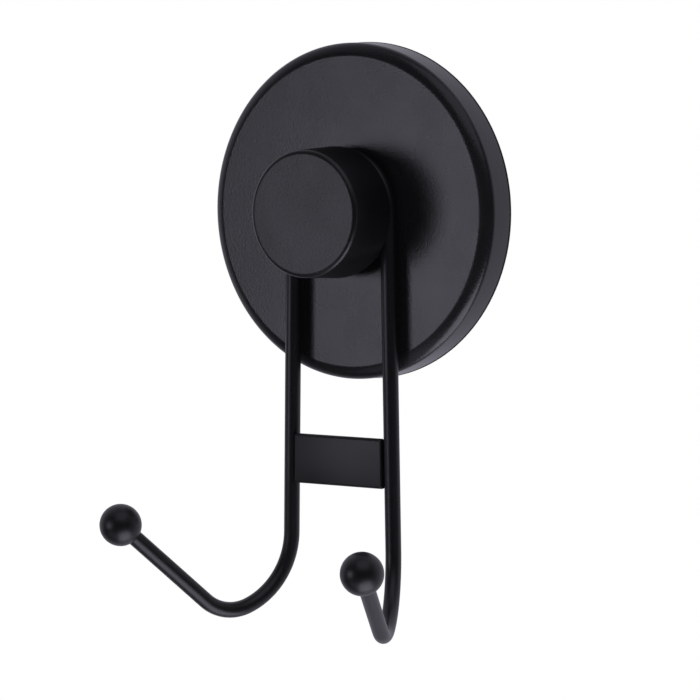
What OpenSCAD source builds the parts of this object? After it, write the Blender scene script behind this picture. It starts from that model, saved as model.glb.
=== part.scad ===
// Wall hook held by a screw-down suction pad: round cover, clamping knob and a bent wire double hook.
// The suction face lies in the XZ plane, the wall is on the +Y side and the front looks along -Y.

/* [Cover] */
// Diameter of the cover at its back edge
cover_d = 85; // [70:0.2:100]
// Height of the cover's flat face above the wall
cover_h = 9.4; // [8.8:0.1:14]
// How much narrower the side wall gets towards the front, on the radius
cover_draft = 0.3; // [0:0.1:1]
// Width of the rounded shoulder, seen from the front
shoulder_w = 3.1; // [1:0.1:4]
// Drop of the rounded shoulder, seen from the side
shoulder_drop = 2.2; // [1:0.1:3]
// Wall thickness of the cover
cover_wall = 2; // [1.6:0.1:2.4]
// Number of ribs inside the cover
cover_ribs = 12; // [6:1:18]
// Thickness of each rib inside the cover
cover_rib_t = 1.2; // [0.8:0.1:2]
// Radius of the ring inside the cover that presses on the pad
press_ring_r = 35; // [30:0.5:36]
// Thickness of the pressing ring and of the inner ring
press_ring_t = 1.6; // [1:0.1:2.5]

/* [Suction pad] */
// Radius by which the thin sealing lip shows past the cover
lip_overhang = 0.1; // [0:0.05:0.5]
// Thickness of the sealing lip under the cover's edge
lip_t = 0.4; // [0.3:0.05:1]
// Thickness of the flexible web
pad_t = 2.2; // [1.5:0.1:2.8]
// Width of the slope between the lip and the web
pad_slope_w = 1.8; // [1:0.1:3]
// Thickness of the pad's soft wall round the core disc
boss_wall = 2.5; // [1.5:0.1:4]
// Thickness of soft material behind the core disc
pad_skin_back = 1.2; // [0.8:0.1:1.5]
// Thickness of soft material in front of the core disc
pad_skin_front = 0.9; // [0.5:0.1:1.1]

/* [Core disc and stud] */
// Radius of the stiff disc moulded into the pad
core_r = 14; // [10:0.1:14.5]
// Thickness of the core disc
core_t = 2.8; // [2:0.1:3]
// Outer diameter of the stud's thread
stud_d = 6; // [5:0.1:6.5]
// Distance of the stud's front end from the wall
stud_reach = 22; // [19:0.5:23]
// Width across the flats of the stud's head
stud_head_af = 12; // [9:0.1:16]
// Thickness of the stud's head
stud_head_t = 1.2; // [0.8:0.1:1.6]
// How far the knob can draw the stud out
stud_travel = 2; // [1:0.1:2.4]

/* [Hook frame] */
// Diameter of the coated wire
wire_d = 4; // [3:0.1:5]
// Radius of the top bend round the stud, at the middle of the wire
hairpin_r = 14.3; // [13:0.1:15]
// Angle by which each leg spreads outwards
toe = 0.9; // [0:0.1:3]
// Thickness of the mounting plate behind the top bend
plate_t = 1; // [0.8:0.1:3]
// Straight length of the left leg, from the top bend to the hook
left_leg = 81.9; // [75:0.1:110]
// Straight length of the right leg
right_leg = 84.2; // [75:0.1:110]
// Radius of the wide bend that leads into each hook
wide_bend_r = 19.5; // [12:0.5:24]
// Angle of the wide bend
wide_bend_angle = 69; // [50:1:80]
// Radius of the tight bend at the bottom of each hook
tight_bend_r = 12; // [8:0.5:16]
// Angle above level at which the left arm rises
left_rise = 41; // [20:1:60]
// Angle above level at which the right arm rises
right_rise = 34; // [20:1:60]
// Distance from the tight bend to the middle of the ball
ball_reach = 31.5; // [20:0.1:45]
// Angle by which each hook swings outwards from straight ahead
splay = 25.4; // [0:0.2:45]

/* [Crossbar] */
// Height of the crossbar's middle below the stud
bar_drop = 62.6; // [55:0.1:72]
// Height of the crossbar
bar_h = 12.6; // [8:0.1:18]
// Thickness of the crossbar
bar_t = 2; // [1.6:0.1:3]
// Rounding of the crossbar's long edges
bar_round = 0.75; // [0.2:0.05:0.75]

/* [Ball ends] */
// Diameter of each ball
ball_d = 10.5; // [8:0.1:14]
// Depth of the blind hole that takes the wire
ball_socket = 4; // [3:0.1:4.5]
// Width of the flat seat round the mouth of that hole
ball_seat_w = 0.15; // [0.1:0.05:0.5]

/* [Knob] */
// Diameter of the knob at its back edge
knob_d = 33; // [32:0.1:40]
// Length of the knob
knob_l = 14.4; // [12.5:0.1:20]
// How much narrower the knob gets towards the front, on the radius
knob_draft = 0.7; // [0:0.1:1.5]
// Width of the rounded front edge, seen from the front
knob_edge_w = 1.2; // [0.4:0.1:2]
// Drop of the rounded front edge, seen from the side
knob_edge_drop = 0.9; // [0.4:0.1:1.6]
// Wall thickness of the knob
knob_wall = 2.6; // [2.2:0.1:3]
// Thickness of the knob's front
knob_front_t = 2.4; // [1.5:0.1:2.6]
// Radius of the knob's hub
hub_r = 8; // [7.6:0.1:9]
// Number of ribs between hub and wall
knob_ribs = 6; // [3:1:10]
// Thickness of each rib
knob_rib_t = 1.4; // [0.8:0.1:2]
// Distance from the knob's back edge to its ribs
knob_rib_recess = 2; // [1:0.1:4]

/* [Nut and washer] */
// Width across the flats of the nut in the hub
nut_af = 10; // [9:0.1:11]
// Height of the nut
nut_h = 5; // [4:0.1:5.5]
// Outer radius of the washer under the hub
washer_r = 9.5; // [8.5:0.1:10]
// Thickness of the washer
washer_t = 1; // [0.6:0.1:1.2]

/* [Clearances] */
// Clearance round the stud where it passes through plates
stud_clearance = 0.3; // [0.2:0.05:0.6]
// Running clearance between stud and nut, on the radius
thread_clearance = 0.05; // [0.02:0.01:0.1]
// Gap of pieces moulded, glued or welded together
bond_gap = 0.03; // [0.01:0.01:0.1]
// Gap between the knob and what it turns on
knob_gap = 0.05; // [0.02:0.01:0.2]

/* [Hidden] */
fine = 128;
arc_step = 7.5;
cut = 1;
coat_black = [0.10, 0.10, 0.11];
plastic_black = [0.13, 0.13, 0.14];
pad_black = [0.06, 0.06, 0.06];
steel_grey = [0.66, 0.67, 0.69];

cover_r = cover_d / 2;
cover_inner_h = cover_h - cover_wall;
cover_bore_r = stud_d / 2 + stud_clearance;
boss_r = core_r + boss_wall;
ring_gap = 1;
inner_ring_r = boss_r + ring_gap + press_ring_t;
inner_ring_h = pad_t + ring_gap;
lip_r = cover_r + lip_overhang;
pad_wall_gap = 0.6;
web_r = cover_r - cover_wall - pad_wall_gap - pad_slope_w;
boss_foot_w = 1.5;
boss_foot_h = 1;
boss_h = pad_skin_back + core_t + pad_skin_front;

wire_r = wire_d / 2;
plate_front = cover_h + plate_t;
wire_depth = plate_front + wire_r;
wire_front = wire_depth + wire_r;
left_tight_angle = 90 + left_rise - wide_bend_angle;
right_tight_angle = 90 + right_rise - wide_bend_angle;

seat_r = wire_r + ball_seat_w;
seat_dist = sqrt(pow(ball_d / 2, 2) - pow(seat_r, 2));
arm_l = ball_reach - seat_dist + ball_socket;

washer_front = plate_front + washer_t;
hub_back = washer_front + knob_gap;
knob_r = knob_d / 2;
knob_back = wire_front + knob_gap;
knob_front = knob_back + knob_l;
knob_inner_front = knob_front - knob_front_t;
stud_end_gap = 1;
stud_bore_end = stud_reach + stud_travel + stud_end_gap;
stud_chamfer = 0.6;
joint_overlap = 0.01;

// Width across the corners of a hexagon, from its width across the flats
function corners(af) = af / cos(30);

// Middle of a leg's wire, sideways, at a distance below the stud
function leg_x(drop) = hairpin_r / cos(toe) + drop * tan(toe);

// Quarter of an ellipse from a flat face (w wide) over to a side wall (drop high)
function rounded_corner(r, h, w, drop) = [
    for (a = [0 : arc_step : 90])
        [r - w + w * sin(a), h - drop + drop * cos(a)]
];

// Turns a shape that stands on the XY plane so that its top looks to the front
module to_front() {
    rotate([90, 0, 0]) children();
}

module tube(r_out, r_in, from, to) {
    translate([0, 0, from])
        difference() {
            cylinder(r = r_out, h = to - from, $fn = fine);
            translate([0, 0, -cut]) cylinder(r = r_in, h = to - from + 2 * cut, $fn = fine);
        }
}

module hexagon(af, from, to) {
    translate([0, 0, from]) cylinder(d = corners(af), h = to - from, $fn = 6);
}

// Soft disc with a flat back, a thin lip, a flexible web and a boss over the core disc
module suction_pad() {
    profile = [
        [0, 0], [lip_r, 0], [lip_r, lip_t], [web_r + pad_slope_w, lip_t], [web_r, pad_t],
        [boss_r + boss_foot_w, pad_t], [boss_r, pad_t + boss_foot_h], [boss_r, boss_h], [0, boss_h],
    ];
    color(pad_black) to_front()
        difference() {
            rotate_extrude($fn = fine) polygon(profile);
            translate([0, 0, pad_skin_back]) cylinder(r = core_r + bond_gap, h = core_t, $fn = fine);
            translate([0, 0, pad_skin_back + core_t / 2])
                cylinder(r = stud_d / 2 + bond_gap, h = boss_h, $fn = fine);
        }
}

// Stiff disc inside the pad, with a pocket that keeps the stud's head from turning
module core_disc() {
    color(plastic_black) to_front()
        difference() {
            translate([0, 0, pad_skin_back]) cylinder(r = core_r, h = core_t, $fn = fine);
            hexagon(stud_head_af + 2 * bond_gap, 0, pad_skin_back + stud_head_t);
            translate([0, 0, pad_skin_back])
                cylinder(r = stud_d / 2 + bond_gap, h = core_t + cut, $fn = fine);
        }
}

// Stud with a flat hexagon head; the shaft is the outside of its thread
module stud() {
    color(steel_grey) to_front()
        union() {
            hexagon(stud_head_af, pad_skin_back, pad_skin_back + stud_head_t);
            translate([0, 0, pad_skin_back])
                cylinder(d = stud_d, h = stud_reach - stud_chamfer - pad_skin_back, $fn = fine);
            translate([0, 0, stud_reach - stud_chamfer])
                cylinder(r1 = stud_d / 2, r2 = stud_d / 2 - stud_chamfer, h = stud_chamfer, $fn = fine);
        }
}

// Dish with a rounded shoulder; rings and ribs inside bear on the pad
module cover() {
    front_r = cover_r - cover_draft;
    outer = concat(
        [[0, cover_h]],
        rounded_corner(front_r, cover_h, shoulder_w, shoulder_drop),
        [[cover_r, lip_t], [0, lip_t]]
    );
    inner = concat(
        [[0, cover_inner_h]],
        rounded_corner(front_r - cover_wall, cover_inner_h, shoulder_w / 2, shoulder_drop / 2),
        [[cover_r - cover_wall, lip_t - cut], [0, lip_t - cut]]
    );
    color(coat_black) to_front()
        union() {
            difference() {
                rotate_extrude($fn = fine) polygon(outer);
                rotate_extrude($fn = fine) polygon(inner);
                cylinder(r = cover_bore_r, h = cover_h + cut, $fn = fine);
            }
            tube(press_ring_r, press_ring_r - press_ring_t, pad_t, cover_inner_h);
            tube(inner_ring_r, inner_ring_r - press_ring_t, inner_ring_h, cover_inner_h);
            for (i = [0 : cover_ribs - 1])
                rotate([0, 0, (i + 0.5) * 360 / cover_ribs])
                    translate([inner_ring_r - press_ring_t / 2, -cover_rib_t / 2, inner_ring_h])
                        cube([press_ring_r - inner_ring_r, cover_rib_t, cover_inner_h - inner_ring_h]);
        }
}

// Round plate welded behind the top bend; the stud passes through it
module mounting_plate() {
    color(coat_black) to_front()
        tube(hairpin_r, cover_bore_r, cover_h, plate_front);
}

// Start of a leg, where the top bend ends; +Z runs down the wire and +X is the way the hook turns
module leg_start(left) {
    mirror([left ? 1 : 0, 0, 0])
        translate([hairpin_r * cos(toe), hairpin_r * sin(toe), wire_depth])
            rotate([90, 0, toe])
                rotate([0, 0, 90 - splay])
                    children();
}

// Moves on to the end of a bend
module past_bend(radius, angle) {
    translate([radius * (1 - cos(angle)), 0, radius * sin(angle)])
        rotate([0, angle, 0])
            children();
}

module past_leg(left) {
    leg_start(left) translate([0, 0, left ? left_leg : right_leg]) children();
}

module past_wide_bend(left) {
    past_leg(left) past_bend(wide_bend_r, wide_bend_angle) children();
}

module past_tight_bend(left) {
    past_wide_bend(left) past_bend(tight_bend_r, left ? left_tight_angle : right_tight_angle) children();
}

module wire_straight(length) {
    sphere(r = wire_r + joint_overlap, $fn = fine);
    cylinder(r = wire_r, h = length, $fn = fine);
}

module wire_bend(radius, angle) {
    sphere(r = wire_r + joint_overlap, $fn = fine);
    translate([radius, 0, 0])
        rotate([90, 0, 180])
            rotate_extrude(angle = angle, $fn = fine)
                translate([radius, 0]) circle(r = wire_r, $fn = fine);
}

// One wire: the top bend round the stud, two legs, and a wide and a tight bend into each rising arm.
// A sphere hardly larger than the wire closes each joint between a straight stretch and a bend.
module hook_wire() {
    color(coat_black) to_front()
        union() {
            translate([0, 0, wire_depth])
                rotate([0, 0, toe])
                    rotate_extrude(angle = 180 - 2 * toe, $fn = fine)
                        translate([hairpin_r, 0]) circle(r = wire_r, $fn = fine);
            for (left = [false, true]) {
                leg_start(left) wire_straight(left ? left_leg : right_leg);
                past_leg(left) wire_bend(wide_bend_r, wide_bend_angle);
                past_wide_bend(left) wire_bend(tight_bend_r, left ? left_tight_angle : right_tight_angle);
                past_tight_bend(left) wire_straight(arm_l);
            }
        }
}

// Flat bar between the legs, flush with the front of the wires; its ends follow the spread of the legs
module crossbar() {
    top = bar_drop - bar_h / 2;
    bottom = bar_drop + bar_h / 2;
    end_gap = wire_r + bond_gap;
    outline = [
        [leg_x(top) - end_gap, -top], [leg_x(bottom) - end_gap, -bottom],
        [end_gap - leg_x(bottom), -bottom], [end_gap - leg_x(top), -top],
    ];
    color(coat_black) to_front()
        intersection() {
            translate([0, 0, wire_front - bar_t]) linear_extrude(height = bar_t) polygon(outline);
            translate([-leg_x(bottom), -bar_drop, wire_front - bar_t / 2])
                rotate([90, 0, 90])
                    linear_extrude(height = 2 * leg_x(bottom)) rounded_bar_section();
        }
}

module rounded_bar_section() {
    square([bar_h - 2 * bar_round, bar_t], center = true);
    square([bar_h, bar_t - 2 * bar_round], center = true);
    for (side = [-1, 1])
        for (face = [-1, 1])
            translate([side * (bar_h / 2 - bar_round), face * (bar_t / 2 - bar_round)])
                circle(r = bar_round, $fn = 32);
}

// Ball with a flat seat and a blind hole for the end of the wire
module ball(left) {
    color(coat_black) to_front()
        past_tight_bend(left)
            translate([0, 0, ball_reach])
                difference() {
                    sphere(d = ball_d, $fn = fine);
                    translate([-ball_d / 2, -ball_d / 2, -seat_dist - ball_d])
                        cube(ball_d);
                    translate([0, 0, -seat_dist - cut])
                        cylinder(r = wire_r + bond_gap, h = ball_socket + bond_gap + cut, $fn = fine);
                }
}

// Washer on the mounting plate, under the knob's hub
module washer() {
    color(steel_grey) to_front()
        tube(washer_r, cover_bore_r, plate_front, washer_front);
}

// Hollow knob: outer wall with draft, rounded front edge, hub with a hexagon pocket, and ribs
module knob() {
    front_r = knob_r - knob_draft;
    outer = concat(
        [[0, knob_front]],
        rounded_corner(front_r, knob_front, knob_edge_w, knob_edge_drop),
        [[knob_r, knob_back], [0, knob_back]]
    );
    inner_front_r = front_r - knob_wall;
    rib_back = knob_back + knob_rib_recess;
    color(coat_black) to_front()
        difference() {
            union() {
                difference() {
                    rotate_extrude($fn = fine) polygon(outer);
                    translate([0, 0, knob_back - cut])
                        cylinder(r1 = knob_r - knob_wall, r2 = inner_front_r,
                            h = knob_inner_front - knob_back + cut, $fn = fine);
                }
                translate([0, 0, hub_back])
                    cylinder(r = hub_r, h = knob_inner_front + knob_front_t / 2 - hub_back, $fn = fine);
                for (i = [0 : knob_ribs - 1])
                    rotate([0, 0, i * 360 / knob_ribs])
                        translate([hub_r - knob_rib_t, -knob_rib_t / 2, rib_back])
                            cube([inner_front_r + knob_wall / 2 - hub_r + knob_rib_t, knob_rib_t,
                                knob_inner_front + knob_front_t / 2 - rib_back]);
            }
            hexagon(nut_af + 2 * bond_gap, hub_back - cut, hub_back + nut_h);
            translate([0, 0, hub_back]) cylinder(r = cover_bore_r, h = stud_bore_end - hub_back, $fn = fine);
        }
}

// Hexagon nut in the hub; its bore is the outside of the thread
module knob_nut() {
    color(steel_grey) to_front()
        difference() {
            hexagon(nut_af, hub_back, hub_back + nut_h);
            cylinder(r = stud_d / 2 + thread_clearance, h = hub_back + nut_h + cut, $fn = fine);
        }
}

suction_pad();
core_disc();
stud();
cover();
mounting_plate();
hook_wire();
crossbar();
ball(true);  // ball_left
ball(false);  // ball_right
washer();
knob();
knob_nut();
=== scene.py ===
import math

import bmesh
import bpy
from mathutils import Matrix, Vector


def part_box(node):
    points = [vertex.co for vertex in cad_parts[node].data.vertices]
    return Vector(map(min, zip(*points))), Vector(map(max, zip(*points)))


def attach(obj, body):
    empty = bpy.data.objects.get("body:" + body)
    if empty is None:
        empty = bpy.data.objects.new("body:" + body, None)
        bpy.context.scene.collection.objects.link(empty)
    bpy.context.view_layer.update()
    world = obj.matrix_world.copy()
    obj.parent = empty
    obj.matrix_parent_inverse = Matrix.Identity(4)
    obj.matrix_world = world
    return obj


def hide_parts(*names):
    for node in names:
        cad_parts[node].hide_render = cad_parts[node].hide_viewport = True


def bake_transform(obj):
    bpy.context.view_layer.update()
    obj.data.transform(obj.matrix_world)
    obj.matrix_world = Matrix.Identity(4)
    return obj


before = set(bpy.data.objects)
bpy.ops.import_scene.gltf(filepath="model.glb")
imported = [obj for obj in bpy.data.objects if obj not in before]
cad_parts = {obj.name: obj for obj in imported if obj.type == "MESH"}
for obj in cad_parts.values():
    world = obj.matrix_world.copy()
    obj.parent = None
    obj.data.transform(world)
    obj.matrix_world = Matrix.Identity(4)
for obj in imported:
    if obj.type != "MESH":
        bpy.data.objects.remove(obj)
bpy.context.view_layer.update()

mm = 0.001
print("frame loaded:", len(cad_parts), "nodes")


# the camera stands to the right of the hook, almost level with it
camera = {
    "place": (461.4, -675.2, 27.3),  # mm
    "right": (0.8225, 0.5688, -0.0043),
    "up": (-0.0400, 0.0654, 0.9971),
    "lens": 165.7,
    "sensor": 36.0,
    "clip": (0.01, 50),  # metres
}


def placeCamera(facts):
    right = Vector(facts["right"]).normalized()
    back = right.cross(Vector(facts["up"])).normalized()
    up = back.cross(right)
    data = bpy.data.cameras.new("photoCamera")
    data.lens = facts["lens"]
    data.sensor_width = facts["sensor"]
    data.clip_start, data.clip_end = facts["clip"]
    made = bpy.data.objects.new("photoCamera", data)
    turn = Matrix((right, up, back)).transposed().to_4x4()
    made.matrix_world = Matrix.Translation(Vector(facts["place"]) * mm) @ turn
    bpy.context.scene.collection.objects.link(made)
    bpy.context.scene.camera = made
    return right, back


photoRight, towardCamera = placeCamera(camera)
bpy.context.scene.view_settings.view_transform = "Standard"
print("camera placed")


class Value:  # a wrapped socket, so that shader maths reads as sums
    def __init__(self, tree, socket=None):
        self.tree = tree
        self.socket = socket

    def node(self, kind, settings=None, inputs=None, output=0):
        made = self.tree.nodes.new(kind)
        for name, value in (settings or {}).items():
            setattr(made, name, value)
        for name, value in (inputs or {}).items():
            if isinstance(value, Value):
                self.tree.links.new(value.socket, made.inputs[name])
            else:
                made.inputs[name].default_value = value
        return Value(self.tree, None if output is None else made.outputs[output])

    def maths(self, operation, first, second):
        return self.node("ShaderNodeMath", {"operation": operation}, {0: first, 1: second})

    def __add__(self, other):
        return self.maths("ADD", self, other)

    def __radd__(self, other):
        return self.maths("ADD", other, self)

    def __sub__(self, other):
        return self.maths("SUBTRACT", self, other)

    def __rsub__(self, other):
        return self.maths("SUBTRACT", other, self)

    def __mul__(self, other):
        return self.maths("MULTIPLY", self, other)

    def __rmul__(self, other):
        return self.maths("MULTIPLY", other, self)


def startMaterial(name):
    made = bpy.data.materials.new(name)
    made.use_nodes = True
    made.node_tree.nodes.clear()
    return made, Value(made.node_tree)


def finishMaterial(shader, inputs):
    surface = shader.node("ShaderNodeBsdfPrincipled", {}, inputs)
    shader.node("ShaderNodeOutputMaterial", {}, {"Surface": surface}, None)


# noise on the piece's own coordinates; size is the width of one grain in metres
def grain(shader, size, detail, stretch=(1, 1, 1)):
    place = shader.node("ShaderNodeTexCoord", output="Object")
    if stretch != (1, 1, 1):
        place = shader.node(
            "ShaderNodeMapping", {}, {"Vector": place, "Scale": stretch}, "Vector")
    return shader.node(
        "ShaderNodeTexNoise", {}, {"Vector": place, "Scale": 1 / size, "Detail": detail}, "Fac")


# inputs 6 and 7 are the Mix node's two colours, and output 2 is the mixed one
def between(shader, mask, dark, light):
    return shader.node(
        "ShaderNodeMix", {"data_type": "RGBA"},
        {"Factor": mask, 6: (*dark, 1), 7: (*light, 1)}, 2)


# noise lies round 0.5, so this lies round the finish's own roughness
def unevenRoughness(mask, facts):
    return (mask - 0.5) * facts["roughnessSpread"] + facts["roughness"]


# finishes with a fine grain that stands up, and wide patches; grainShare is the grain's
# part in the colour, and the patches have the rest
grainedPlastic = {  # moulded cover
    "dark": (0.0100, 0.0100, 0.0105), "light": (0.0170, 0.0170, 0.0178),
    "roughness": 0.27, "roughnessSpread": 0.10, "gloss": 0.5,
    "grainSize": 0.55 * mm, "grainDetail": 1.0, "grainShare": 0.6,
    "grainHeight": 0.034 * mm, "grainStrength": 1.0,
    "patchSize": 14 * mm, "patchDetail": 2.0,
}
knobPlastic = {  # deeper black and duller than the cover, otherwise the same
    "dark": (0.0045, 0.0045, 0.0047), "light": (0.0072, 0.0072, 0.0075),
    "roughness": 0.33, "grainHeight": 0.029 * mm,
}
satinCoating = {  # powder coat on wire, balls and mounting plate
    "dark": (0.0035, 0.0035, 0.0036), "light": (0.0052, 0.0052, 0.0054),
    "roughness": 0.38, "roughnessSpread": 0.08, "gloss": 0.5,
    "grainSize": 0.9 * mm, "grainDetail": 1.5, "grainShare": 0.0,
    "grainHeight": 0.010 * mm, "grainStrength": 0.25,
    "patchSize": 9 * mm, "patchDetail": 2.0,
}
barCoating = {  # the flat bar is duller and a shade paler than the wire
    "dark": (0.0070, 0.0070, 0.0072), "light": (0.0105, 0.0105, 0.0109),
    "roughness": 0.41, "grainStrength": 0.9,
}
softRubber = {  # suction pad
    "dark": (0.004, 0.004, 0.004), "light": (0.030, 0.030, 0.030),
    "roughness": 0.52, "roughnessSpread": 0.30, "gloss": 0.25,
    "grainSize": 0.8 * mm, "grainDetail": 2.0, "grainShare": 0.3,
    "grainHeight": 0.060 * mm, "grainStrength": 1.0,
    "patchSize": 16 * mm, "patchDetail": 3.0,
}

# finishes of the inner parts, with one pattern and no grain that stands up
platedSteel = {  # stud, washer and nut
    "dark": (0.42, 0.43, 0.44), "light": (0.62, 0.63, 0.64),
    "roughness": 0.28, "roughnessSpread": 0.16, "metallic": 1.0,
    "streakSize": 2 * mm, "streakDetail": 4.0, "stretch": (1, 6, 1),
}
hardPlastic = {  # core disc
    "dark": (0.040, 0.040, 0.042), "light": (0.055, 0.055, 0.058),
    "roughness": 0.45, "roughnessSpread": 0.10, "metallic": 0.0,
    "streakSize": 0.6 * mm, "streakDetail": 2.0, "stretch": (1, 1, 1),
}


def makeGrained(name, facts):
    made, shader = startMaterial(name)
    fine = grain(shader, facts["grainSize"], facts["grainDetail"])
    patches = grain(shader, facts["patchSize"], facts["patchDetail"])
    mask = fine * facts["grainShare"] + patches * (1 - facts["grainShare"])
    bump = shader.node("ShaderNodeBump", {}, {
        "Strength": facts["grainStrength"], "Distance": facts["grainHeight"], "Height": fine,
    }, "Normal")
    finishMaterial(shader, {
        "Base Color": between(shader, mask, facts["dark"], facts["light"]),
        "Roughness": unevenRoughness(patches, facts),
        "Specular IOR Level": facts["gloss"],
        "Normal": bump,
    })
    return made


def makeStreaked(name, facts):
    made, shader = startMaterial(name)
    streaks = grain(shader, facts["streakSize"], facts["streakDetail"], facts["stretch"])
    finishMaterial(shader, {
        "Base Color": between(shader, streaks, facts["dark"], facts["light"]),
        "Roughness": unevenRoughness(streaks, facts),
        "Metallic": facts["metallic"],
    })
    return made


coverLook = makeGrained("coverPlastic", grainedPlastic)
knobLook = makeGrained("knobPlastic", {**grainedPlastic, **knobPlastic})
coatingLook = makeGrained("satinCoating", satinCoating)
barLook = makeGrained("barCoating", {**satinCoating, **barCoating})
rubberLook = makeGrained("softRubber", softRubber)
steelLook = makeStreaked("platedSteel", platedSteel)
coreLook = makeStreaked("hardPlastic", hardPlastic)
print("finishes made")


# modelling helpers; sizes of pieces are in mm, and depth is the distance in front of the wall,
# which is the plane y = 0
shaping = {
    "weld": 0.0005,  # points closer than this become one
    "slack": 0.02,  # how far an edge's ends may lie from its ring
    "sharpAngle": 32,  # degrees, sharper edges shade as creases
}


# turns an outline of (radius, depth) points about the stud's axis
def turnOutline(points, steps):
    bm = bmesh.new()
    verts = [bm.verts.new((radius * mm, -depth * mm, 0)) for radius, depth in points]
    edges = [bm.edges.new(pair) for pair in zip(verts, verts[1:])]
    bmesh.ops.spin(
        bm, geom=verts + edges, cent=(0, 0, 0), axis=(0, 1, 0), dvec=(0, 0, 0),
        angle=2 * math.pi, steps=steps, use_merge=True)
    bmesh.ops.remove_doubles(bm, verts=bm.verts, dist=shaping["weld"] * mm)
    bmesh.ops.recalc_face_normals(bm, faces=bm.faces)
    return bm


def ringEdges(bm, radius, depth):
    slack = shaping["slack"] * mm

    def on(vert):
        spread = math.hypot(vert.co.x, vert.co.z)
        return abs(spread - radius * mm) < slack and abs(-vert.co.y - depth * mm) < slack
    return [edge for edge in bm.edges if on(edge.verts[0]) and on(edge.verts[1])]


def roundEdges(bm, edges, width, segments):
    bmesh.ops.bevel(
        bm, geom=edges, offset=width * mm, offset_type="OFFSET", affect="EDGES",
        segments=segments, profile=0.5, material=-1, clamp_overlap=True)


# turns an outline and rounds one corner, which may be wider than it is deep: the depths are
# stretched until an even bevel fits, and then pressed back
def turnWithShoulder(points, steps, corner, width, drop, segments):
    stretch = width / drop
    bm = turnOutline([(radius, depth * stretch) for radius, depth in points], steps)
    roundEdges(bm, ringEdges(bm, corner[0], corner[1] * stretch), width, segments)
    bmesh.ops.scale(bm, vec=(1, 1 / stretch, 1), verts=bm.verts)
    return bm


def makePiece(name, bm, look, body, replaced):
    bmesh.ops.recalc_face_normals(bm, faces=bm.faces)
    mesh = bpy.data.meshes.new(name)
    bm.to_mesh(mesh)
    bm.free()
    mesh.shade_smooth()
    mesh.set_sharp_from_angle(angle=math.radians(shaping["sharpAngle"]))
    mesh.materials.append(look)
    made = bpy.data.objects.new(name, mesh)
    bpy.context.scene.collection.objects.link(made)
    if body:
        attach(made, body)
    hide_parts(*replaced)
    print("made", name, len(mesh.polygons), "faces")
    return made


# cover: a shallow dish with a rounded shoulder
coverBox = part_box("cover")
cover = {
    "radius": coverBox[1].x / mm, "front": -coverBox[0].y / mm, "back": -coverBox[1].y / mm,
    "draft": 0.15, "wall": 2.0, "steps": 256,
    "bore": 3.3,  # a radius
    "shoulderWidth": 3.3, "shoulderDrop": 2.5, "arcSteps": 16,
    "shoulderStart": 18.0,  # degrees, how steeply the shoulder leaves the face
    "rimRound": 0.12, "rimSegments": 3,
    "strip": 0.15,  # narrow strips beside shoulder and rim, so that face and wall stay flat
}


def makeCover(facts):
    radius, front, back = facts["radius"], facts["front"], facts["back"]
    width, drop, wall = facts["shoulderWidth"], facts["shoulderDrop"], facts["wall"]
    bore, strip, arcSteps = facts["bore"], facts["strip"], facts["arcSteps"]
    frontRadius = radius - facts["draft"]
    start = math.radians(facts["shoulderStart"])
    sweep = math.pi / 2 - start
    shoulder = []
    for step in range(arcSteps + 1):
        angle = start + sweep * step / arcSteps
        inside = width * (1 - math.sin(angle)) / (1 - math.sin(start))
        below = drop * (1 - math.cos(angle) / math.cos(start))
        shoulder.append((frontRadius - inside, front - below))
    outline = [
        (bore, front), (frontRadius - width - strip, front), *shoulder,
        (radius, back + strip), (radius, back), (radius - wall, back),
        (frontRadius - wall, front - wall - drop / 2),
        (frontRadius - wall - width / 2, front - wall), (bore, front - wall), (bore, front),
    ]
    bm = turnOutline(outline, facts["steps"])
    roundEdges(bm, ringEdges(bm, radius, back), facts["rimRound"], facts["rimSegments"])
    makePiece("coverShell", bm, coverLook, "frame", ["cover"])


makeCover(cover)


# knob: hollow, with a hub, ribs, draft and a rounded front edge
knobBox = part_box("knob")
knob = {
    "radius": knobBox[1].x / mm, "front": -knobBox[0].y / mm, "hubBack": -knobBox[1].y / mm,
    "length": 14.4, "draft": 0.7, "wall": 2.6, "frontThick": 2.4, "steps": 192,
    "edgeWidth": 1.2, "edgeDrop": 0.9, "edgeSegments": 10,
    "backRound": 0.2, "backSegments": 3,
    "strip": 0.12,  # narrow strips beside the roundings, so that face and wall stay flat
    "hub": 8.0, "pocket": 5.95, "bore": 3.3,  # radii
    "pocketDepth": 5.0, "boreEnd": 25.0,  # how deep the pocket is, and the bore's last depth
    "ribs": 6, "ribThick": 1.4, "ribRecess": 2.0,
    "ribInto": (0.5, 1.0),  # how far a rib runs on into hub and wall, and into the front
}


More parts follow.
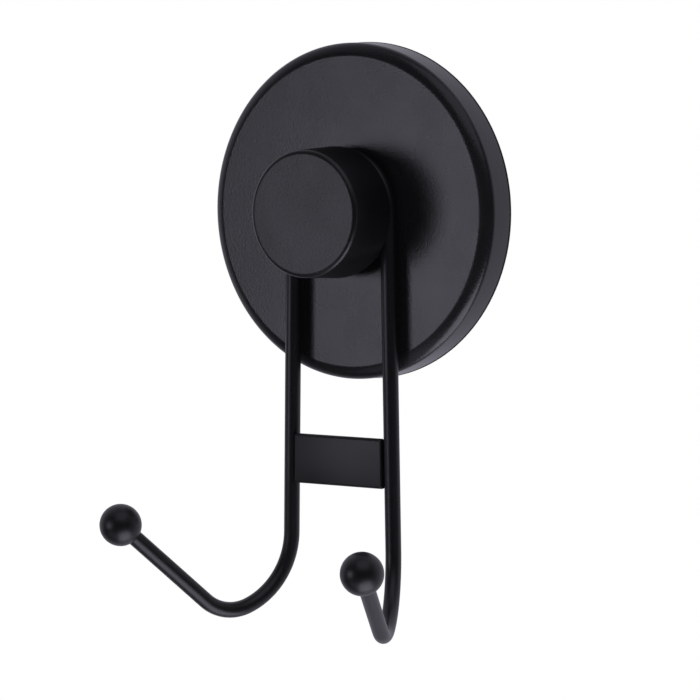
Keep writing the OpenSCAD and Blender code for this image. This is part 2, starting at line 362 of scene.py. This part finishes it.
def makeKnob(facts):
    radius, front, hubBack = facts["radius"], facts["front"], facts["hubBack"]
    width, drop, wall, hub = facts["edgeWidth"], facts["edgeDrop"], facts["wall"], facts["hub"]
    strip, bore, pocket = facts["strip"], facts["bore"], facts["pocket"]
    back = front - facts["length"]
    innerFront = front - facts["frontThick"]
    frontRadius = radius - facts["draft"]
    sideRadius = frontRadius + facts["draft"] * (drop + strip) / facts["length"]
    pocketEnd = hubBack + facts["pocketDepth"]
    outline = [
        (0, front), (frontRadius - width - strip, front), (frontRadius, front),
        (sideRadius, front - drop - strip), (radius, back + 2 * strip), (radius, back),
        (radius - wall, back), (frontRadius - wall, innerFront), (hub, innerFront),
        (hub, hubBack), (pocket, hubBack), (pocket, pocketEnd),
        (bore, pocketEnd), (bore, facts["boreEnd"]), (0, facts["boreEnd"]),
    ]
    corner = (frontRadius, front)
    bm = turnWithShoulder(outline, facts["steps"], corner, width, drop, facts["edgeSegments"])
    roundEdges(bm, ringEdges(bm, radius, back), facts["backRound"], facts["backSegments"])
    intoSides, intoFront = facts["ribInto"]
    recess, thick = facts["ribRecess"], facts["ribThick"]
    length = frontRadius - wall / 2 - hub + 2 * intoSides
    height = innerFront + intoFront - back - recess
    middle = Vector((hub - intoSides + length / 2, -(back + recess + height / 2), 0)) * mm
    for index in range(facts["ribs"]):
        made = bmesh.ops.create_cube(bm, size=1)["verts"]
        bmesh.ops.scale(bm, vec=(length * mm, height * mm, thick * mm), verts=made)
        bmesh.ops.translate(bm, vec=middle, verts=made)
        turn = Matrix.Rotation(index * 2 * math.pi / facts["ribs"], 3, "Y")
        bmesh.ops.rotate(bm, cent=(0, 0, 0), matrix=turn, verts=made)
    makePiece("clampKnob", bm, knobLook, "knob", ["knob"])


makeKnob(knob)


# hook wire: one wire, carried on from a ring at the top bend to each end
hookWire = {
    "thick": 4.0, "topBend": 14.3, "depth": 12.4, "toe": 0.9, "splay": 25.4,
    "wideBend": 19.5, "wideAngle": 69.0, "tightBend": 12.0, "reach": 31.5, "intoBall": 4.0,
    "sides": {"left": (-1, 81.9, 41.0), "right": (1, 84.2, 34.0)},  # side, leg, rise of arm
    "ringSteps": 48, "stepAngle": 3.0,
}
ballEnd = {"size": 10.5, "seatWidth": 0.15, "seatRound": 0.06, "seatSegments": 2, "steps": 72}


class WireEnd:  # where a growing wire has got to
    def __init__(self, bm, ring, place, heading):
        self.bm, self.ring, self.place, self.heading = bm, ring, place, heading

    def straight(self, length):
        made = bmesh.ops.extrude_edge_only(self.bm, edges=self.ring)["geom"]
        verts = {part for part in made if isinstance(part, bmesh.types.BMVert)}
        bmesh.ops.translate(self.bm, vec=self.heading * length * mm, verts=list(verts))
        self.ring = [part for part in made if isinstance(part, bmesh.types.BMEdge)
                     and part.verts[0] in verts and part.verts[1] in verts]
        self.place = self.place + self.heading * length * mm

    def bend(self, inward, radius, angle, stepAngle):
        centre = self.place + inward * radius * mm
        axis = self.heading.cross(inward)
        steps = max(2, round(angle / stepAngle))
        made = bmesh.ops.spin(
            self.bm, geom=self.ring, cent=centre, axis=axis, dvec=(0, 0, 0),
            angle=math.radians(angle), steps=steps, use_merge=False)["geom_last"]
        self.ring = [part for part in made if isinstance(part, bmesh.types.BMEdge)]
        turn = Matrix.Rotation(math.radians(angle), 3, axis)
        self.place = centre + turn @ (self.place - centre)
        self.heading = turn @ self.heading
        return turn @ inward


def makeHookWire(facts, ball):
    bm = bmesh.new()
    verts = bmesh.ops.create_circle(
        bm, segments=facts["ringSteps"], radius=facts["thick"] / 2 * mm, cap_ends=False)["verts"]
    bmesh.ops.rotate(
        bm, cent=(0, 0, 0), matrix=Matrix.Rotation(math.pi / 2, 3, "Y"), verts=verts)
    top = Vector((0, -facts["depth"], facts["topBend"])) * mm
    bmesh.ops.translate(bm, vec=top, verts=verts)
    ring = list(bm.edges)
    toe, splay = math.radians(facts["toe"]), math.radians(facts["splay"])
    step = facts["stepAngle"]
    seat = math.sqrt((ball["size"] / 2) ** 2 - (facts["thick"] / 2 + ball["seatWidth"]) ** 2)
    ends = {}
    for name, (side, leg, rise) in facts["sides"].items():
        end = WireEnd(bm, ring, top, Vector((side, 0, 0)))
        end.bend(Vector((0, 0, -1)), facts["topBend"], 90 - facts["toe"], step)
        end.straight(leg)
        outward = Vector((side * math.cos(toe), 0, math.sin(toe)))
        inward = outward * math.sin(splay) + Vector((0, -1, 0)) * math.cos(splay)
        inward = end.bend(inward, facts["wideBend"], facts["wideAngle"], step)
        end.bend(inward, facts["tightBend"], 90 + rise - facts["wideAngle"], step)
        ends[name] = (end.place + end.heading * facts["reach"] * mm, end.heading.copy(), seat)
        end.straight(facts["reach"] - seat + facts["intoBall"])
        bmesh.ops.edgeloop_fill(bm, edges=end.ring)
    makePiece("bentWire", bm, coatingLook, "frame", ["hook_wire"])
    return ends


wireEnds = makeHookWire(hookWire, ballEnd)


# a ball is cut flat where it sits on the wire, with a fine line round the seat
def makeBall(name, node, centre, heading, seat, facts):
    bm = bmesh.new()
    bmesh.ops.create_uvsphere(
        bm, u_segments=facts["steps"], v_segments=facts["steps"] // 2,
        radius=facts["size"] / 2 * mm)
    bmesh.ops.bisect_plane(
        bm, geom=list(bm.verts) + list(bm.edges) + list(bm.faces), dist=0,
        plane_co=(0, 0, -seat * mm), plane_no=(0, 0, -1), clear_outer=True)
    rim = [edge for edge in bm.edges if edge.is_boundary]
    bmesh.ops.edgeloop_fill(bm, edges=rim)
    roundEdges(bm, rim, facts["seatRound"], facts["seatSegments"])
    turn = Vector((0, 0, 1)).rotation_difference(heading).to_matrix()
    bmesh.ops.rotate(bm, cent=(0, 0, 0), matrix=turn, verts=bm.verts)
    bmesh.ops.translate(bm, vec=centre, verts=bm.verts)
    makePiece(name, bm, coatingLook, "frame", [node])


makeBall("leftBall", "ball_left", *wireEnds["left"], ballEnd)
makeBall("rightBall", "ball_right", *wireEnds["right"], ballEnd)


# crossbar: a flat bar between the legs, its ends cut to their spread
barLow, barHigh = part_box("crossbar")
crossbar = {
    "edgeRound": 0.75, "edgeSegments": 6, "endRound": 0.35, "endSegments": 4,
    "squareAngle": 1.3,  # radians, only the edges round the two ends are still this sharp
}


def makeCrossbar(facts):
    bm = bmesh.new()
    verts = bmesh.ops.create_cube(bm, size=1)["verts"]
    bmesh.ops.scale(bm, vec=barHigh - barLow, verts=verts)
    bmesh.ops.translate(bm, vec=(barLow + barHigh) / 2, verts=verts)
    upper = [vert for vert in verts if vert.co.z > (barLow.z + barHigh.z) / 2]
    narrower = 1 - (barHigh.z - barLow.z) * math.tan(math.radians(hookWire["toe"])) / barHigh.x
    bmesh.ops.scale(bm, vec=(narrower, 1, 1), verts=upper)
    longEdges = [edge for edge in bm.edges
                 if abs(edge.verts[0].co.x - edge.verts[1].co.x) > barHigh.x]
    roundEdges(bm, longEdges, facts["edgeRound"], facts["edgeSegments"])
    endEdges = [edge for edge in bm.edges if edge.calc_face_angle() > facts["squareAngle"]]
    roundEdges(bm, endEdges, facts["endRound"], facts["endSegments"])
    makePiece("flatCrossbar", bm, barLook, "frame", ["crossbar"])


makeCrossbar(crossbar)


# suction pad: thin lip and web on the wall, and a boss round the stud
pad = {
    "radius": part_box("suction_pad")[1].x / mm, "webRadius": 38.1, "slope": 1.8,
    "boss": 16.5, "bore": 3.03, "pocketRadius": 14.03,  # radii
    "lip": 0.4, "web": 2.2, "height": 4.9, "pocket": (1.2, 4.0),  # depths
    "bossFoot": (1.5, 1.0), "lipRound": 0.08, "lipSegments": 2, "steps": 192,
}


def makePad(facts):
    radius, lip, web, boss = facts["radius"], facts["lip"], facts["web"], facts["boss"]
    bore, height, webRadius = facts["bore"], facts["height"], facts["webRadius"]
    footWidth, footHeight = facts["bossFoot"]
    pocketRadius, (pocketBack, pocketFront) = facts["pocketRadius"], facts["pocket"]
    outline = [
        (0, 0), (radius, 0), (radius, lip), (webRadius + facts["slope"], lip),
        (webRadius, web), (boss + footWidth, web), (boss, web + footHeight),
        (boss, height), (bore, height), (bore, pocketFront),
        (pocketRadius, pocketFront), (pocketRadius, pocketBack), (0, pocketBack),
    ]
    bm = turnOutline(outline, facts["steps"])
    roundEdges(bm, ringEdges(bm, radius, lip), facts["lipRound"], facts["lipSegments"])
    made = makePiece("rubberPad", bm, rubberLook, None, ["suction_pad"])
    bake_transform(made)


makePad(pad)


# what keeps its CAD shape gets a finish
kept = {
    "mounting_plate": coatingLook, "washer": steelLook, "stud": steelLook,
    "knob_nut": steelLook, "core_disc": coreLook,
}
for node, look in kept.items():
    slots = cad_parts[node].data.materials
    slots.clear()
    slots.append(look)
print("kept nodes finished")


# studio: pale floor far below, soft lights all round, a bright backdrop and a dim room in front
studio = {
    "aim": (0, -30, -45),  # mm, what the lights point at
    "floorDrop": 500.0,  # mm
    "floorSize": 12.0,  # metres
    "floorGlow": 1.0,
    "plain": (1, 1, 1),  # floor and backdrop as the camera sees them
    "backdrop": 0.59, "room": 0.035, "tint": (0.98, 0.95, 1.12),
    "aside": (0.40, 0.15),  # how far the bright part of the backdrop lies to the right and up
    "fade": (-0.35, 0.70),  # from dim room to bright backdrop, as cosines off its middle
}
softLights = {  # direction from the hook, distance, width and height in metres, radiance
    "frontSoftbox": {
        "from": (-0.478, -0.903, -0.015), "distance": 0.90, "size": (0.38, 0.35), "glow": 2.08},
    "tableLight": {
        "from": (0.46, -0.19, -0.87), "distance": 0.57, "size": (0.50, 0.55), "glow": 2.3},
    "highLight": {
        "from": (0.40, -0.45, 0.79), "distance": 1.00, "size": (1.10, 0.90), "glow": 0.55},
    "upperLight": {
        "from": (-0.57, -0.28, 0.77), "distance": 1.00, "size": (0.60, 0.80), "glow": 0.18},
    "lowLight": {
        "from": (-0.15, -0.63, -0.76), "distance": 1.00, "size": (0.90, 0.50), "glow": 0.36},
    "sideLight": {
        "from": (-0.98, -0.18, 0.10), "distance": 1.00, "size": (0.45, 0.95), "glow": 0.30},
}


def makeFloor(facts):
    bm = bmesh.new()
    bmesh.ops.create_grid(bm, x_segments=1, y_segments=1, size=facts["floorSize"])
    bmesh.ops.translate(bm, vec=(0, 0, -facts["floorDrop"] * mm), verts=bm.verts)
    mesh = bpy.data.meshes.new("paleFloor")
    bm.to_mesh(mesh)
    bm.free()
    look, shader = startMaterial("paleFloor")
    glow = shader.node("ShaderNodeEmission", {}, {
        "Color": (*facts["plain"], 1), "Strength": facts["floorGlow"],
    })
    shader.node("ShaderNodeOutputMaterial", {}, {"Surface": glow}, None)
    mesh.materials.append(look)
    floor = bpy.data.objects.new("paleFloor", mesh)
    bpy.context.scene.collection.objects.link(floor)
    floor.visible_diffuse = floor.visible_glossy = floor.visible_shadow = False


def makeLight(name, facts, aim, tint):
    width, height = facts["size"]
    data = bpy.data.lights.new(name, "AREA")
    data.shape = "RECTANGLE"
    data.size, data.size_y = width, height
    data.energy = facts["glow"] * math.pi * width * height
    data.color = tint
    back = Vector(facts["from"]).normalized()
    up = back.cross(photoRight).normalized()  # widths lie along the picture's own width
    made = bpy.data.objects.new(name, data)
    turn = Matrix((up.cross(back), up, back)).transposed().to_4x4()
    made.matrix_world = Matrix.Translation(Vector(aim) * mm + back * facts["distance"]) @ turn
    made.visible_camera = False
    bpy.context.scene.collection.objects.link(made)


def makeWorld(facts):
    world = bpy.data.worlds.new("studio")
    bpy.context.scene.world = world
    world.use_nodes = True
    world.node_tree.nodes.clear()
    shader = Value(world.node_tree)
    direction = shader.node("ShaderNodeTexCoord", output="Generated")
    right, up = facts["aside"]
    photoUp = towardCamera.cross(photoRight)
    brightest = (photoRight * right + photoUp * up - towardCamera).normalized()
    away = shader.node(
        "ShaderNodeVectorMath", {"operation": "DOT_PRODUCT"}, {0: direction, 1: brightest},
        "Value")
    dimEdge, brightEdge = facts["fade"]
    glow = shader.node("ShaderNodeMapRange", {"interpolation_type": "SMOOTHSTEP"}, {
        "Value": away, "From Min": dimEdge, "From Max": brightEdge,
        "To Min": facts["room"], "To Max": facts["backdrop"],
    })
    seen = shader.node("ShaderNodeLightPath", output="Is Camera Ray")
    strength = seen + (1 - seen) * glow
    colour = between(shader, seen, facts["tint"], facts["plain"])
    background = shader.node(
        "ShaderNodeBackground", {}, {"Color": colour, "Strength": strength})
    shader.node("ShaderNodeOutputWorld", {}, {"Surface": background}, None)


makeFloor(studio)
for name, facts in softLights.items():
    makeLight(name, facts, studio["aim"], studio["tint"])
makeWorld(studio)
print("studio lit")
